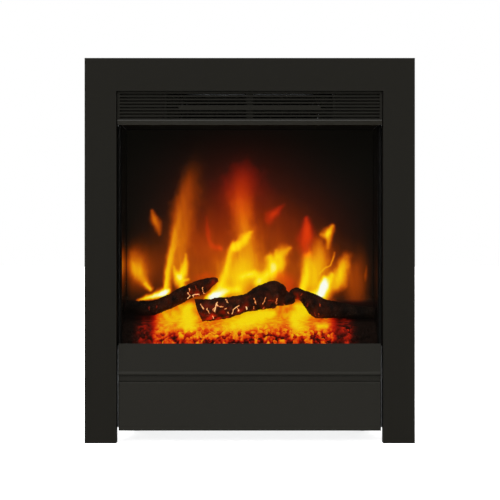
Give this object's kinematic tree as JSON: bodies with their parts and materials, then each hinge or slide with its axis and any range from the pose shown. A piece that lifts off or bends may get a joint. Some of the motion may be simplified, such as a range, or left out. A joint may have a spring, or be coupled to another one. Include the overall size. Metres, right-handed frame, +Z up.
{
  "type": "electric fireplace",
  "caption": "Inset electric fire: black sheet-metal trim, glass front, log and ember flame effect, warm-air outlet grille above and a pull-off fret below.",
  "frame": {"origin": "on the hearth, under the middle of the fire's bounding box", "axes": "+Z up, -Y towards the room (the glass side), +X to the right as seen from the room"},
  "size_m": [0.51, 0.156, 0.595],
  "materials": {
    "black_coat": "matt black powder coat, fine texture",
    "fret_coat": "satin-matt black powder coat",
    "galvanised": "zinc-coated sheet",
    "dark_metal": "heat-proof matt black",
    "glass": "clear toughened glass",
    "screen": "back-lit diffusing acrylic",
    "ember": "translucent moulded resin, lit from below",
    "log": "charred-bark resin with translucent cracks",
    "mirror": "bright reflector sheet",
    "plastic": "black moulded plastic",
    "rocker": "satin black moulded plastic",
    "board": "green circuit board",
    "ceramic": "bare ceramic",
    "steel": "plain steel",
    "rubber": "black rubber",
    "magnet": "nickel-plated magnet"
  },
  "bodies": {
    "fire": {"trim_frame": "black_coat", "trim_clip_left": "galvanised", "trim_clip_right": "galvanised", "side_panel_left": "galvanised", "side_panel_right": "galvanised", "top_panel": "galvanised", "base_panel": "galvanised", "back_panel": "galvanised", "rear_foot_left": "rubber", "rear_foot_right": "rubber", "outlet_grille": "black_coat", "blanking_plate_left": "black_coat", "blanking_plate_right": "black_coat", "front_glass": "glass", "glass_retainer": "fret_coat", "glass_shelf": "black_coat", "glass_support_left": "dark_metal", "glass_support_right": "dark_metal", "upper_fret": "fret_coat", "fret_magnet_left": "magnet", "fret_magnet_right": "magnet", "chamber_shelf": "black_coat", "chamber_ceiling": "black_coat", "chamber_liner_left": "dark_metal", "chamber_liner_right": "dark_metal", "flame_screen": "screen", "rear_reflector": "mirror", "flame_cutout": "dark_metal", "ember_bed": "ember", "log_left": "log", "log_centre": "log", "log_right": "log", "spindle_bush": "plastic", "spindle_motor": "steel", "ember_led_board": "board", "flame_led_board": "board", "blower_scroll": "galvanised", "duct_cover": "galvanised", "blower_cheek_left": "galvanised", "blower_cheek_right": "galvanised", "blower_bearing": "plastic", "blower_motor": "steel", "heating_element": "ceramic", "thermal_cutout": "ceramic", "outlet_deflector": "galvanised", "control_panel": "black_coat", "control_board": "board", "led_driver": "plastic", "terminal_block": "plastic", "cable_gland": "plastic", "switch_body_1": "plastic", "switch_body_2": "plastic", "switch_body_3": "plastic"},
    "removable_fret": {"lower_fret": "fret_coat"},
    "power_rocker": {"rocker_power": "rocker"},
    "low_heat_rocker": {"rocker_low_heat": "rocker"},
    "high_heat_rocker": {"rocker_high_heat": "rocker"},
    "blower_rotor": {"blower_wheel": "steel"},
    "flame_rotor": {"flame_spindle": "mirror"}
  },
  "joints": [
    {"name": "lower_fret_pull", "type": "slide", "parent": "fire", "child": "removable_fret", "axis": [0, -1, 0], "range_m": [0, 0.12]},
    {"name": "power_switch", "type": "hinge", "parent": "fire", "child": "power_rocker", "pos_m": [0.07, -0.0485, 0.062], "axis": [1, 0, 0], "range_deg": [-20, 0]},
    {"name": "low_heat_switch", "type": "hinge", "parent": "fire", "child": "low_heat_rocker", "pos_m": [0.105, -0.0485, 0.062], "axis": [1, 0, 0], "range_deg": [-20, 0]},
    {"name": "high_heat_switch", "type": "hinge", "parent": "fire", "child": "high_heat_rocker", "pos_m": [0.14, -0.0485, 0.062], "axis": [1, 0, 0], "range_deg": [-20, 0]},
    {"name": "blower_spin", "type": "hinge", "parent": "fire", "child": "blower_rotor", "pos_m": [0, 0.036, 0.526], "axis": [1, 0, 0], "continuous": true},
    {"name": "flame_spindle_spin", "type": "hinge", "parent": "fire", "child": "flame_rotor", "pos_m": [0, 0.05, 0.152], "axis": [1, 0, 0], "continuous": true}
  ]
}
